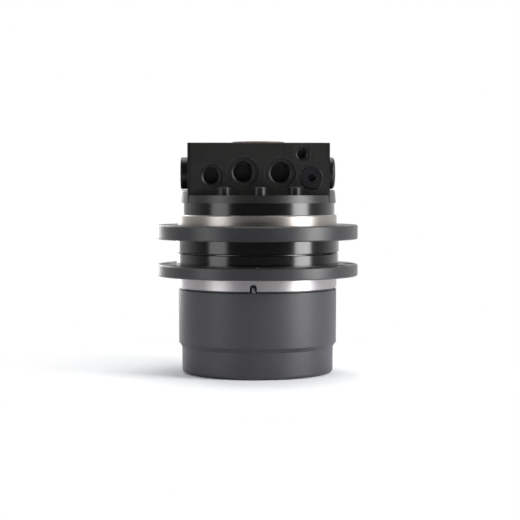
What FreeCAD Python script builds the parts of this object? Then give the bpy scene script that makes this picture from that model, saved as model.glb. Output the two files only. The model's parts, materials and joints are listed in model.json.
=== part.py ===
"""Final drive of a small tracked excavator: a travel motor and its two-stage planetary gearbox.

The motor case is bolted to the track frame by its upper flange.  A spindle hangs down inside it and
carries two ball bearings, on which the sprocket hub, the ring gear housing and the end cover turn
together.  The motor shaft drives a long sun shaft.  Its sun turns three planets in the rotating ring
gear, their carrier drives the second sun, and four planets on pins fixed in the spindle's end turn
the ring gear and so the hub.

The axis is Z, the end cover is down, and the port face of the valve block looks towards -Y.
"""

import FreeCAD, Part

import math
import os

# ------------------------------------------------------------------ gear teeth
module = 2.0
pressure_angle = math.radians(20)
addendum = 1.6
dedendum = 2.1
backlash = 0.24            # along the pitch circle, in each mesh
ring_teeth = 66
planet_1_teeth = 27
planet_2_teeth = 26
sun_1_teeth = ring_teeth - 2 * planet_1_teeth
sun_2_teeth = ring_teeth - 2 * planet_2_teeth
planet_1_count = 3
planet_2_count = 4
spline_depth = 1.2

# ------------------------------------------------------------------ fits
running_clearance = 0.08   # radial, between a needle or shaft and its bore
seat_clearance = 0.04      # radial, between pieces that are pressed or seated together
face_gap = 0.3             # axial, between faces that pass each other
ball_clearance = 0.06

# ------------------------------------------------------------------ heights, from the base upwards
cover_recess = 5.0
cover_thickness = 10.0
button_height = 4.6
sun_1_width = 16.0
planet_1_width = 14.0
carrier_gap = 2.0
carrier_thickness = 8.0
stage_gap = 5.0
planet_2_width = 19.0
spindle_gap = 2.5
nut_height = 7.5
bearing_width = 13.0
hub_rib = 3.0
seal_space = 3.0
seal_ring_height = 7.2
lip_height = 11.8          # of the housing above the ring gear's teeth
lip_groove = 1.5
band_height = 11.1         # sprocket pilot
sprocket_flange = 11.6
running_gap = 0.9
case_ring_height = 13.0
frame_flange = 14.2
frame_pilot_height = 10.1
case_neck_height = 11.7
shelf_height = 7.5         # block flange under the screw heads
ledge_height = 13.0
block_height = 58.8
boss_height = 1.6

# ------------------------------------------------------------------ radii
ring_wall = 7.45
step_height = 28.5
step_chamfer = 3.0
step_depth = 1.7
housing_step = 1.35        # from the chamfer's top out to the upper drum
housing_lip = 0.15
drum_taper = 0.35
edge_fillet = 3.0
pilot_step = 0.25          # pilot bands outside the drum, so that a sprocket slides on over it
flange_width = 21.0
frame_bolt_edge = 10.5      # from the flange's edge to the bolt circle
sprocket_bolt_edge = 9.0
bolt_hole_radius = 5.5
frame_bolt_count = 9
sprocket_bolt_count = 12
hub_ring_wall = 5.7        # round the face seal's cavity
case_ring_wall = 6.3
case_neck_step = 2.15      # inside the pilot band
ledge_step = 0.8
ledge_draft = 1.2
lip_neck_step = 2.0

# ------------------------------------------------------------------ main bearings and face seal
spindle_radius = 54.0
bearing_section = 16.0
bearing_ring = 5.0
main_ball_radius = 4.5
main_ball_count = 40
spigot_wall = 4.5
nut_wall = 6.0
shoulder_width = 5.0
seal_shaft_gap = 3.0
seal_ring_section = 8.0
toric_space = 5.0
o_ring_radius = 1.1
groove_slack = 0.2
joint_seal_radius = 56.0
seal_flange = 2.0
wire_ring_radius = 1.25
wire_slack = 0.12
cover_seat = 2.4           # cover's edge beyond the tooth roots
plug_circle = 47.0
plug_head_radius = 9.5
plug_head_height = 3.0
plug_shank_radius = 7.0
plug_spot_radius = 10.5
plug_socket_radius = 4.0
plug_socket_depth = 6.0
button_radius = 8.0
lock_pin_radius = 2.0
lock_pin_offset = 1.1      # pin's axis outside the spigot
lock_pin_depth = 4.8
notch_half_width = 3.45
notch_height = 7.9
notch_azimuth = math.radians(-94.9)

# ------------------------------------------------------------------ planet train
planet_1_pin_radius = 8.0
planet_2_pin_radius = 9.0
needle_radius = 1.5
carrier_hole_radius = 9.0
carrier_rim = 6.0          # of the plate outside its pins
needle_1_count = 16
needle_2_count = 18
sun_shaft_radius = 6.5
sun_2_bore = 8.0
pin_retainer = 1.5

# ------------------------------------------------------------------ motor
shaft_radius = 12.0
shaft_seal_height = 7.0
shaft_seal_section = 8.0
shaft_bearing_width = 14.0
shaft_bearing_section = 13.5
shaft_ball_radius = 3.5
shaft_ball_count = 11
motor_cavity_radius = 41.0
swash_plate_thickness = 12.0
piston_count = 9
piston_circle = 21.0
piston_radius = 5.0
piston_length = 30.0
slipper_radius = 6.4
slipper_neck_radius = 4.8
slipper_height = 2.6
piston_ball_radius = 3.4
retainer_thickness = 1.8
retainer_ball_radius = 15.6
retainer_ball_drop = 3.6   # of its centre below the plate
cylinder_block_radius = 31.5
cylinder_block_length = 34.0
valve_plate_thickness = 3.4
needle_bearing_height = 7.5
needle_bearing_section = 5.0
brake_plate_thickness = 2.0
brake_plate_count = 3
brake_disc_inner = 33.0
brake_disc_outer = 40.0
brake_plate_inner = 35.5
brake_plate_outer = 43.0
brake_piston_radius = 47.0
brake_piston_height = 11.0
brake_stroke = 1.5
brake_spring_thickness = 1.4

# ------------------------------------------------------------------ valve block
block_front = 37.0
block_rear = 45.0
block_half_width = 69.5
pad_edge_width = 3.0
pad_step = 1.4
block_edge_radius = 0.9
block_corner_step = 0.6    # inside the pilot band
boss_radius = 27.5
spool_height = 29.5        # above the joint face
spool_radius = 9.0
spool_half_length = 48.0
spool_stroke = 3.0
cap_radius = 15.8
cap_length = 7.2
cap_edge = {-1: 1.2, 1: 3.0}
cap_plug_radius = 12.5
cap_plug_length = 13.5
spring_wire_radius = 0.9
spring_radius = 5.6
spring_turns = 5
screw_radius = 4.0
screw_head_radius = 6.5
screw_head_height = 8.0
screw_socket_radius = 3.46
screw_socket_depth = 4.5
screw_circle = 66.0
screw_pitch = math.radians(31)
long_screw_side_inset = 11.5
long_screw_rear_inset = 14.0
screw_grip = 20.0
port_mouth = 1.8           # cone at the start of each port's thread, for a seal
# Each port: x, height above the joint face, spot face radius and depth, bore radius and depth
ports = {
    "drain": (-46.5, 26.0, 12.3, 1.6, 7.5, 18.0),
    "main_left": (-15.4, 29.8, 15.5, 2.0, 9.3, 21.0),
    "main_right": (21.0, 29.2, 15.5, 2.0, 9.3, 21.0),
    "plugged": (51.6, 24.4, 11.8, 2.6, 7.5, 16.0),
    "pilot": (41.9, 47.7, 8.0, 1.2, 4.3, 13.0),
}

# ------------------------------------------------------------------ worked out from the sizes above
base = 0.0
cover_bottom = base + cover_recess
cover_top = cover_bottom + cover_thickness
sun_1_bottom = cover_top + button_height + face_gap
planet_1_bottom = sun_1_bottom + (sun_1_width - planet_1_width) / 2
planet_1_top = planet_1_bottom + planet_1_width
carrier_bottom = planet_1_top + carrier_gap
carrier_top = carrier_bottom + carrier_thickness
planet_2_bottom = carrier_top + stage_gap
planet_2_top = planet_2_bottom + planet_2_width
spindle_end = planet_2_top + spindle_gap
ring_gear_top = spindle_end + face_gap
nut_bottom = spindle_end + 1.0
lower_bearing = nut_bottom + nut_height
rib_bottom = lower_bearing + bearing_width
upper_bearing = rib_bottom + hub_rib
bearing_top = upper_bearing + bearing_width
seal_floor = bearing_top + seal_space
seal_face = seal_floor + seal_ring_height
housing_top = ring_gear_top + lip_height
band_bottom = housing_top + lip_groove
hub_flange_bottom = band_bottom + band_height
hub_flange_top = hub_flange_bottom + sprocket_flange
hub_top = seal_face - running_gap / 2
case_bottom = hub_top + running_gap
case_flange_bottom = case_bottom + case_ring_height
case_flange_top = case_flange_bottom + frame_flange
pilot_top = case_flange_top + frame_pilot_height
joint_face = pilot_top + case_neck_height
shelf_top = joint_face + shelf_height
ledge_top = joint_face + ledge_height
block_top = joint_face + block_height
boss_top = block_top + boss_height

ring_pitch_radius = module * ring_teeth / 2
ring_tip_radius = ring_pitch_radius - addendum
ring_root_radius = ring_pitch_radius + dedendum
drum_radius = ring_root_radius + ring_wall
housing_radius = drum_radius + step_depth + housing_step
pilot_radius = housing_radius + housing_lip + pilot_step
case_neck_radius = pilot_radius - case_neck_step
ledge_radius = pilot_radius - ledge_step
lip_neck_radius = pilot_radius - lip_neck_step
block_corner_radius = pilot_radius - block_corner_step
pad_half_width = block_half_width - pad_edge_width
long_screw_x = block_half_width - long_screw_side_inset
long_screw_y = block_rear - long_screw_rear_inset
flange_radius = pilot_radius + flange_width
frame_bolt_circle = flange_radius - frame_bolt_edge
sprocket_bolt_circle = flange_radius - sprocket_bolt_edge
planet_1_circle = module * (sun_1_teeth + planet_1_teeth) / 2
planet_2_circle = module * (sun_2_teeth + planet_2_teeth) / 2
bearing_outer_radius = spindle_radius + bearing_section
main_ball_circle = spindle_radius + bearing_section / 2
spigot_radius = bearing_outer_radius + spigot_wall
seal_ring_inner = spindle_radius + shoulder_width + seal_shaft_gap
seal_ring_outer = seal_ring_inner + seal_ring_section
seal_cavity_radius = seal_ring_outer + toric_space
toric_radius = toric_space / 2 - 0.1
hub_ring_radius = seal_cavity_radius + hub_ring_wall
case_ring_radius = seal_cavity_radius + case_ring_wall
spigot_bottom = ring_gear_top + 1.5
cover_radius = ring_root_radius + cover_seat
planet_1_bore = planet_1_pin_radius + 2 * needle_radius + 2 * running_clearance
planet_2_bore = planet_2_pin_radius + 2 * needle_radius + 2 * running_clearance
lock_pin_circle = spigot_radius + lock_pin_offset

seal_bore_bottom = spindle_end + 15.5
shaft_bearing_bottom = seal_bore_bottom + shaft_seal_height + 3.5
shaft_bearing_top = shaft_bearing_bottom + shaft_bearing_width
cavity_floor = shaft_bearing_top + 2.5
swash_face = cavity_floor + swash_plate_thickness
cylinder_top = joint_face + 7.5
cylinder_bottom = cylinder_top - cylinder_block_length
valve_plate_top = cylinder_top + face_gap / 3 + valve_plate_thickness
brake_seat = cylinder_bottom
brake_pitch = brake_plate_thickness + 0.15
brake_pack_top = brake_seat + (2 * brake_plate_count - 1) * brake_pitch
piston_nose = brake_pack_top + face_gap
brake_piston_seat = piston_nose + 4.0
spool_axis = joint_face + spool_height
port_face_y = -block_front

PARTS = "parts"
UP = FreeCAD.Vector(0, 0, 1)


# ------------------------------------------------------------------ small helpers
def at(x, y, z):
    """A point."""
    return FreeCAD.Vector(x, y, z)


def polar(radius, angle, z=0.0):
    """The point at a radius and an angle about the axis."""
    return at(radius * math.cos(angle), radius * math.sin(angle), z)


def cylinder(radius, bottom, top, x=0.0, y=0.0):
    """An upright cylinder between two heights."""
    return Part.makeCylinder(radius, top - bottom, at(x, y, bottom), UP)


def ring(inner, outer, bottom, top, x=0.0, y=0.0):
    """An upright tube between two heights."""
    return cylinder(outer, bottom, top, x, y).cut(cylinder(inner, bottom - 1, top + 1, x, y))


def box(low, high):
    """A box between two corners."""
    size = [high[i] - low[i] for i in range(3)]
    return Part.makeBox(size[0], size[1], size[2], at(*low))


def turned(outline):
    """The solid that an outline of (radius, height) points makes when it is turned about the axis."""
    points = [at(radius, 0, z) for radius, z in outline]
    face = Part.Face(Part.makePolygon(points + points[:1]))
    return face.revolve(at(0, 0, 0), UP, 360)


def torus(radius, section, z):
    """A round-section ring lying level."""
    return Part.makeTorus(radius, section, at(0, 0, z), UP)


def spun(shape, angle, x=0.0, y=0.0):
    """A copy turned by an angle in radians about an upright line."""
    copy = shape.copy()
    copy.rotate(at(x, y, 0), UP, math.degrees(angle))
    return copy


def shifted(shape, x, y, z=0.0):
    """A copy moved along the three axes."""
    copy = shape.copy()
    copy.translate(at(x, y, z))
    return copy


def around(count, start=0.0):
    """The angles of a number of places evenly round the axis."""
    return [start + 2 * math.pi * index / count for index in range(count)]


def patterned(shape, count, start=0.0):
    """Copies of a shape evenly round the axis."""
    return [spun(shape, angle) for angle in around(count, start)]


def circle_edges(shape, radius, z):
    """The level round edges of one radius at one height."""
    found = []
    for edge in shape.Edges:
        curve = edge.Curve
        if not isinstance(curve, Part.Circle):
            continue
        if abs(curve.Radius - radius) < 0.01 and abs(curve.Center.z - z) < 0.01:
            found.append(edge)
    return found


def rim_edges(shape, z):
    """All edges that lie level at one height."""
    found = []
    for edge in shape.Edges:
        bounds = edge.BoundBox
        if abs(bounds.ZMin - z) < 0.01 and abs(bounds.ZMax - z) < 0.01:
            found.append(edge)
    return found


def hexagon(inradius, bottom, top, x=0.0, y=0.0):
    """An upright six-sided prism, by the radius across its flats."""
    corner = inradius / math.cos(math.pi / 6)
    points = [at(x + corner * math.cos(a), y + corner * math.sin(a), bottom) for a in around(6)]
    face = Part.Face(Part.makePolygon(points + points[:1]))
    return face.extrude(at(0, 0, top - bottom))


def save(name, shapes):
    """Write one node, as one solid or a group of them."""
    shape = shapes if not isinstance(shapes, list) else Part.makeCompound(shapes)
    shape.exportStep(os.path.join(PARTS, name + ".step"))


# ------------------------------------------------------------------ gear and spline outlines
def involute(angle):
    """The involute function of a pressure angle."""
    return math.tan(angle) - angle


def half_tooth_angle(teeth, radius, slack):
    """Half the angle that a tooth fills at a radius, thinned by its share of the backlash."""
    pitch = module * teeth / 2
    base = pitch * math.cos(pressure_angle)
    half_pitch = (math.pi * module / 2 - slack) / (2 * pitch)
    local = math.acos(min(1.0, base / radius))
    return half_pitch + involute(pressure_angle) - involute(local)


def flank(teeth, low, high, slack, centre, side):
    """One tooth flank, an arc through three points of the involute, from the low radius to the high."""
    points = []
    for radius in (low, (low + high) / 2, high):
        points.append(polar(radius, centre + side * half_tooth_angle(teeth, radius, slack)))
    return points


def toothed_face(teeth, root, tip, slack, start):
    """The flat outline of a gear: tooth centres start at an angle, and each flank is one arc."""
    base = module * teeth / 2 * math.cos(pressure_angle)
    low = max(root, base + 0.01)
    edges = []
    step = 2 * math.pi / teeth
    for index in range(teeth):
        centre = start + index * step
        rising = flank(teeth, low, tip, slack, centre, -1)
        falling = flank(teeth, low, tip, slack, centre, 1)
        foot = half_tooth_angle(teeth, low, slack)
        next_foot = polar(root, centre + step - foot)
        if low > root:
            edges.append(Part.LineSegment(polar(root, centre - foot), rising[0]))
        edges.append(Part.Arc(*rising))
        edges.append(Part.Arc(rising[2], polar(tip, centre), falling[2]))
        edges.append(Part.Arc(falling[2], falling[1], falling[0]))
        if low > root:
            edges.append(Part.LineSegment(falling[0], polar(root, centre + foot)))
        edges.append(Part.Arc(polar(root, centre + foot), polar(root, centre + step / 2), next_foot))
    return Part.Face(Part.Wire([edge.toShape() for edge in edges]))


def gear(teeth, bottom, width, start, bore):
    """A spur gear with a plain bore, centred on the axis."""
    pitch = module * teeth / 2
    face = toothed_face(teeth, pitch - dedendum, pitch + addendum, backlash / 2, start)
    blank = face.extrude(at(0, 0, width))
    blank.translate(at(0, 0, bottom))
    return blank.cut(cylinder(bore, bottom - 1, bottom + width + 1))


def ring_spaces(bottom, top, start):
    """The solid that cuts the ring gear's tooth spaces, space centres starting at an angle."""
    pitch = ring_pitch_radius
    face = toothed_face(ring_teeth, pitch - addendum, pitch + dedendum, -backlash / 2, start)
    return shifted(face.extrude(at(0, 0, top - bottom)), 0, 0, bottom)


def spline(teeth, root, tip, bottom, top, start=0.0):
    """A straight-sided spline shaft: teeth and gaps of equal width."""
    step = 2 * math.pi / teeth
    points = []
    for angle in around(teeth, start):
        points.append(polar(root, angle - 0.28 * step))
        points.append(polar(tip, angle - 0.20 * step))
        points.append(polar(tip, angle + 0.20 * step))
        points.append(polar(root, angle + 0.28 * step))
    face = Part.Face(Part.makePolygon(points + points[:1]))
    return shifted(face.extrude(at(0, 0, top - bottom)), 0, 0, bottom)


# ------------------------------------------------------------------ how the teeth are set in mesh
def planet_phase(teeth, azimuth):
    """The angle of a planet's tooth when one of the ring's spaces is centred on +X."""
    return azimuth - azimuth * ring_teeth / teeth


def sun_phase(sun_teeth, teeth):
    """The angle of a sun's tooth when it meshes with the planet on +X."""
    planet = planet_phase(teeth, 0.0)
    return -(teeth / sun_teeth) * (planet - math.pi + math.pi / teeth)


# ------------------------------------------------------------------ the rotating hub
def sprocket_hub():
    """Hub with spigot, pilot band, sprocket flange and two bearing seats divided by a rib."""
    inner = bearing_outer_radius + seat_clearance
    rib = bearing_outer_radius - bearing_ring + 0.6
    outline = [
        (inner, spigot_bottom),
        (spigot_radius - 1, spigot_bottom),
        (spigot_radius, spigot_bottom + 1),
        (spigot_radius, housing_top),
        (lip_neck_radius, housing_top),
        (lip_neck_radius, band_bottom),
        (pilot_radius, band_bottom),
        (pilot_radius, hub_flange_bottom - 1.5),
        (pilot_radius + 1, hub_flange_bottom),
        (flange_radius - 1, hub_flange_bottom),
        (flange_radius, hub_flange_bottom + 1),
        (flange_radius, hub_flange_top - 1),
        (flange_radius - 1, hub_flange_top),
        (hub_ring_radius, hub_flange_top),
        (hub_ring_radius, hub_top - 0.6),
        (hub_ring_radius - 0.6, hub_top),
        (seal_cavity_radius + 0.8, hub_top),
        (seal_cavity_radius, hub_top - 0.8),
        (seal_cavity_radius, seal_floor),
        (inner, seal_floor),
        (inner, upper_bearing),
        (rib, upper_bearing),
        (rib, rib_bottom),
        (inner, rib_bottom),
    ]
    hub = turned(outline)
    hole = cylinder(bolt_hole_radius, hub_flange_bottom - 1, hub_flange_top + 1, sprocket_bolt_circle)
    hub = hub.cut(patterned(hole, sprocket_bolt_count))
    return hub.cut([edge_groove(spigot_radius, spigot_seal_height()), pin_hole(), pin_notch()])


def spigot_seal_height():
    """The height of the O-ring on the hub's spigot."""
    return spigot_bottom + 1.5 + o_ring_radius


def edge_groove(radius, z):
    """The square groove of an O-ring in an outside edge."""
    half = o_ring_radius + groove_slack
    return ring(radius - 2 * o_ring_radius - groove_slack, radius + 1, z - half, z + half)


def edge_ring(radius, z):
    """The O-ring that lies in such a groove."""
    return torus(radius - o_ring_radius, o_ring_radius, z)


def pin_hole():
    """The upright hole of the lock pin, half in the hub's spigot and half in the housing's lip."""
    place = polar(lock_pin_circle, notch_azimuth)
    bottom = housing_top - lock_pin_depth
    return cylinder(lock_pin_radius + seat_clearance, bottom, housing_top + 6, place.x, place.y)


def pin_notch():
    """The round-topped notch in the pilot band, where the lock pin is driven in."""
    top = band_bottom + notch_height - notch_half_width - lip_groove
    inner = lock_pin_circle - lock_pin_radius - 0.6
    depth = pilot_radius + 2 - inner
    low = (inner, -notch_half_width, housing_top)
    shaft = box(low, (inner + depth, notch_half_width, top))
    arch = Part.makeCylinder(notch_half_width, depth, at(inner, 0, top), at(1, 0, 0))
    return spun(shaft.fuse(arch), notch_azimuth)


def ring_gear_housing():
    """The drum: internal ring gear, outer step, rounded foot, cover seat and the lip over the spigot."""
    outline = [
        (cover_radius, base),
        (drum_radius - drum_taper, base),
        (drum_radius, step_height - step_chamfer),
        (drum_radius + step_depth, step_height),
        (housing_radius, step_height + 1.5),
        (housing_radius + housing_lip, housing_top - 1),
        (housing_radius - 1, housing_top),
        (spigot_radius + seat_clearance, housing_top),
        (spigot_radius + seat_clearance, ring_gear_top + 1),
        (ring_tip_radius, ring_gear_top + 1),
        (ring_tip_radius, cover_top),
        (cover_radius, cover_top),
    ]
    drum = turned(outline)
    drum = drum.makeFillet(edge_fillet, circle_edges(drum, drum_radius - drum_taper, base))
    drum = drum.cut(ring_spaces(cover_top - 1, ring_gear_top + 2, 0.0))
    drum = drum.cut(torus(cover_radius, wire_ring_radius + wire_slack, wire_ring_height()))
    return drum.cut(pin_hole())


def wire_ring_height():
    """The height of the wire ring, which lies against the cover's outer face."""
    return cover_bottom - wire_ring_radius - wire_slack


def lock_pin():
    """The pin that keeps the hub and the housing from turning in each other."""
    place = polar(lock_pin_circle, notch_azimuth)
    bottom = housing_top - lock_pin_depth
    pin = cylinder(lock_pin_radius, bottom, band_bottom + 3.6, place.x, place.y)
    return pin.makeChamfer(0.4, circle_edges(pin, lock_pin_radius, band_bottom + 3.6))


def plug_places():
    """The oil plugs' places on the cover: level plug and drain plug."""
    return [polar(plug_circle, math.radians(angle)) for angle in (-90, 0, 90)]


def end_cover():
    """The dished end cover, with an O-ring groove in its edge and three plug holes."""
    edge = cover_radius - seat_clearance
    outline = [
        (0, cover_bottom + 1.5),
        (30, cover_bottom + 1.5),
        (32, cover_bottom),
        (edge - 0.8, cover_bottom),
        (edge, cover_bottom + 0.8),
        (edge, cover_top),
        (0, cover_top),
    ]
    cover = turned(outline)
    cover = cover.cut(edge_groove(edge, cover_seal_height()))
    for place in plug_places():
        cover = cover.cut(cylinder(plug_shank_radius, cover_bottom - 1, cover_top + 1, place.x, place.y))
        cover = cover.cut(cylinder(plug_spot_radius, cover_bottom - 1, plug_seat(), place.x, place.y))
    return cover


def plug_seat():
    """The height of the spot faces under the oil plugs' heads."""
    return cover_bottom + plug_head_height / 3


def cover_seal_height():
    """The height of the O-ring in the cover's edge."""
    return cover_bottom + 0.55 * cover_thickness


def oil_plugs():
    """Screw plugs with hexagon sockets, let into the end cover."""
    plugs = []
    for place in plug_places():
        outer = plug_seat() - plug_head_height
        head = cylinder(plug_head_radius, outer, plug_seat(), place.x, place.y)
        head = head.makeChamfer(0.8, circle_edges(head, plug_head_radius, outer))
        shank_radius = plug_shank_radius - seat_clearance
        shank = cylinder(shank_radius, plug_seat() - 0.1, cover_top - 1.0, place.x, place.y)
        socket = hexagon(plug_socket_radius, outer - 1.0, outer + plug_socket_depth, place.x, place.y)
        plugs.append(head.fuse(shank).cut(socket))
    return plugs


def thrust_button():
    """The domed steel button on the cover, on which the sun shaft runs."""
    top = cover_top + button_height
    outline = [
        (0, cover_top),
        (button_radius, cover_top),
        (button_radius, cover_top + button_height / 2),
        (0.8 * button_radius, top - button_height / 6),
        (0.5 * button_radius, top),
        (0, top),
    ]
    return turned(outline)


def hub_o_rings():
    """The O-rings of the cover and the spigot, and the seal ring's rubber toric."""
    return [
        edge_ring(cover_radius - seat_clearance, cover_seal_height()),
        edge_ring(spigot_radius, spigot_seal_height()),
        toric(-1),
    ]


def toric(direction):
    """The rubber ring that presses one of the face seal's rings towards the other."""
    middle = (seal_ring_outer + seal_cavity_radius) / 2
    return torus(middle, toric_radius, seal_face + direction * (seal_flange + toric_radius + 0.1))


def bearing_outer_ring(bottom):
    """One outer ring, with the groove that its balls run in."""
    inner = bearing_outer_radius - bearing_ring
    race = ring(inner, bearing_outer_radius, bottom, bottom + bearing_width)
    return race.cut(torus(main_ball_circle, main_ball_radius + ball_clearance, bottom + bearing_width / 2))


def bearing_inner_ring(bottom):
    """One inner ring on the spindle, with its ball groove."""
    inner = spindle_radius + seat_clearance
    race = ring(inner, spindle_radius + bearing_ring, bottom, bottom + bearing_width)
    return race.cut(torus(main_ball_circle, main_ball_radius + ball_clearance, bottom + bearing_width / 2))


def bearing_balls(bottom, start):
    """The balls of one main bearing."""
    ball = Part.makeSphere(main_ball_radius, at(main_ball_circle, 0, bottom + bearing_width / 2))
    return patterned(ball, main_ball_count, start)


def seal_ring(face, direction):
    """One steel ring of the floating face seal, from its sealing face away in one direction."""
    far = face + direction * seal_ring_height
    near = face + direction * seal_flange
    outline = [
        (seal_ring_inner, face),
        (seal_ring_outer + 1.5, face),
        (seal_ring_outer + 1.5, near),
        (seal_ring_outer, near + direction * 0.6),
        (seal_ring_outer - 0.6, far),
        (seal_ring_inner, far),
    ]
    return turned(outline)


# ------------------------------------------------------------------ the fixed case
def motor_case():
    """The cast case: spindle with bearing seats below, flange and pilot above, motor cavity inside."""
    shoulder = spindle_radius + shoulder_width
    outline = [
        (18, spindle_end),
        (spindle_radius - 1, spindle_end),
        (spindle_radius - 0.5, spindle_end + 0.5),
        (spindle_radius - 0.5, lower_bearing),
        (spindle_radius, lower_bearing + 0.5),
        (spindle_radius, bearing_top),
        (shoulder, bearing_top),
        (shoulder, case_cavity_top() - 1),
        (shoulder + 1, case_cavity_top()),
        (seal_cavity_radius, case_cavity_top()),
        (seal_cavity_radius, case_bottom + 0.8),
        (seal_cavity_radius + 0.8, case_bottom),
        (case_ring_radius - 0.8, case_bottom),
        (case_ring_radius, case_bottom + 0.8),
        (case_ring_radius, case_flange_bottom),
        (flange_radius - 1, case_flange_bottom),
        (flange_radius, case_flange_bottom + 1),
        (flange_radius, case_flange_top - 1),
        (flange_radius - 1, case_flange_top),
        (pilot_radius, case_flange_top),
        (pilot_radius, pilot_top - 1),
        (pilot_radius - 1, pilot_top),
        (case_neck_radius, pilot_top),
        (case_neck_radius, joint_face),
        (brake_piston_radius + 0.05, joint_face),
        (brake_piston_radius + 0.05, brake_piston_seat),
        (brake_plate_outer + 0.1, brake_piston_seat),
        (brake_plate_outer + 0.1, brake_seat),
        (motor_cavity_radius, brake_seat),
        (motor_cavity_radius, cavity_floor),
        (shaft_radius + shaft_bearing_section + seat_clearance, cavity_floor),
        (shaft_radius + shaft_bearing_section + seat_clearance, shaft_bearing_bottom),
        (shaft_radius + shaft_seal_section + seat_clearance, shaft_bearing_bottom),
        (shaft_radius + shaft_seal_section + seat_clearance, seal_bore_bottom),
        (18, seal_bore_bottom),
    ]
    case = turned(outline)
    hole = cylinder(bolt_hole_radius, case_flange_bottom - 1, case_flange_top + 1, frame_bolt_circle)
    cuts = patterned(hole, frame_bolt_count, math.pi / 2)
    pin_bore = planet_2_pin_radius + seat_clearance
    for angle in around(planet_2_count):
        place = polar(planet_2_circle, angle)
        cuts.append(cylinder(pin_bore, spindle_end - 1, pin_2_top() + 0.2, place.x, place.y))
    screw_bore = screw_radius + seat_clearance
    for place in screw_places() + long_screw_places():
        cuts.append(cylinder(screw_bore, joint_face - screw_grip - 2, joint_face + 1, place.x, place.y))
    depth = 2 * o_ring_radius
    half = o_ring_radius + groove_slack
    cuts.append(ring(joint_seal_radius - half, joint_seal_radius + half, joint_face - depth, joint_face + 1))
    return case.cut(cuts)


def case_cavity_top():
    """The roof of the seal cavity in the case."""
    return seal_face + seal_ring_height + face_gap


def pin_2_top():
    """The upper end of the planet pins in the spindle."""
    return spindle_end + 18.0


def planet_2_pins():
    """The four planet pins pressed into the spindle's end, each with a groove for its retainer."""
    pin = cylinder(planet_2_pin_radius, carrier_top + 1.0, pin_2_top(), planet_2_circle)
    low = carrier_top + 2.0
    groove = ring(planet_2_pin_radius - 1, planet_2_pin_radius + 2, low, low + pin_retainer, planet_2_circle)
    pin = pin.cut(groove)
    return patterned(pin, planet_2_count)


def planet_2_retainers():
    """The snap rings under the second-stage planets."""
    low = carrier_top + 2.0 + seat_clearance
    inner = planet_2_pin_radius - 1 + seat_clearance
    high = low + pin_retainer - 2 * seat_clearance
    clip = ring(inner, planet_2_pin_radius + 2.4, low, high, planet_2_circle)
    gap = box((planet_2_circle + inner - 1, -2, low - 1), (planet_2_circle + 15, 2, low + 3))
    return patterned(clip.cut(gap), planet_2_count)


def needles(count, pin_radius, circle, planet_bottom, planet_top):
    """The needles round one pin, a little shorter than their planet."""
    rollers = []
    bottom = planet_bottom + 0.5
    top = planet_top - 0.5
    for angle in around(count):
        place = polar(pin_radius + running_clearance + needle_radius, angle)
        rollers.append(cylinder(needle_radius, bottom, top, circle + place.x, place.y))
    return rollers


def bearing_nut():
    """The round nut that holds both inner rings, with four slots for its spanner."""
    inner = spindle_radius - 0.5 + seat_clearance
    outer = spindle_radius + nut_wall
    nut = ring(inner, outer, nut_bottom, lower_bearing)
    slot = box((outer - 2.5, -3, nut_bottom - 1), (outer + 1, 3, nut_bottom + 3))
    nut = nut.makeChamfer(0.6, circle_edges(nut, outer, nut_bottom))
    return nut.cut(patterned(slot, 4, math.pi / 4))


def static_o_rings():
    """The O-rings of the case joint and the spool caps, and the fixed seal ring's rubber toric."""
    rings = [torus(joint_seal_radius, o_ring_radius, joint_face - o_ring_radius), toric(1)]
    for side in (-1, 1):
        centre = at(side * cap_seal_place(), 0, spool_axis)
        rings.append(Part.makeTorus(cap_plug_radius - o_ring_radius, o_ring_radius, centre, at(1, 0, 0)))
    return rings


def cap_seal_place():
    """How far out the spool caps' O-rings lie."""
    return block_half_width - 4.0


# ------------------------------------------------------------------ the two planet stages
def carrier_1():
    """First-stage carrier: a plate with an internal spline for the second sun."""
    edge = planet_1_circle + planet_1_pin_radius + carrier_rim
    plate = cylinder(edge, carrier_bottom, carrier_top)
    corners = circle_edges(plate, edge, carrier_top) + circle_edges(plate, edge, carrier_bottom)
    plate = plate.makeChamfer(1.0, corners)
    pin_bore = planet_1_pin_radius + seat_clearance
    cuts = [spline(sun_2_teeth, *spline_radii(0.1), carrier_bottom - 1, carrier_top + 1, sun_2_start())]
    for angle in around(planet_1_count):
        place = polar(planet_1_circle, angle)
        cuts.append(cylinder(pin_bore, carrier_bottom - 1, carrier_top + 1, place.x, place.y))
        gap = polar(planet_1_circle - 1, angle + math.pi / planet_1_count)
        cuts.append(cylinder(carrier_hole_radius, carrier_bottom - 1, carrier_top + 1, gap.x, gap.y))
    return plate.cut(cuts)


def spline_radii(clearance):
    """Root and tip of the spline between the carrier and the second sun, let out by a clearance."""
    root = module * sun_2_teeth / 2 - dedendum - 1.4
    return root + clearance, root + spline_depth + clearance


def sun_2_start():
    """The angle of one tooth of the second sun."""
    return sun_phase(sun_2_teeth, planet_2_teeth)


def sun_gear_2():
    """Second sun: gear above, spline below, bored for the long sun shaft."""
    root, tip = spline_radii(0.0)
    bottom = planet_2_bottom - 1.0
    teeth = gear(sun_2_teeth, bottom, planet_2_width + 2.0, sun_2_start(), sun_2_bore)
    lower = spline(sun_2_teeth, root, tip, carrier_bottom, bottom + 0.5, sun_2_start())
    lower = lower.cut(cylinder(sun_2_bore, carrier_bottom - 1, bottom + 2))
    return teeth.fuse(lower)


def planet_1(azimuth):
    """One first-stage planet in mesh at its place on the carrier."""
    start = planet_phase(planet_1_teeth, azimuth)
    wheel = gear(planet_1_teeth, planet_1_bottom, planet_1_width, start, planet_1_bore)
    place = polar(planet_1_circle, azimuth)
    return shifted(wheel, place.x, place.y)


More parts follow.
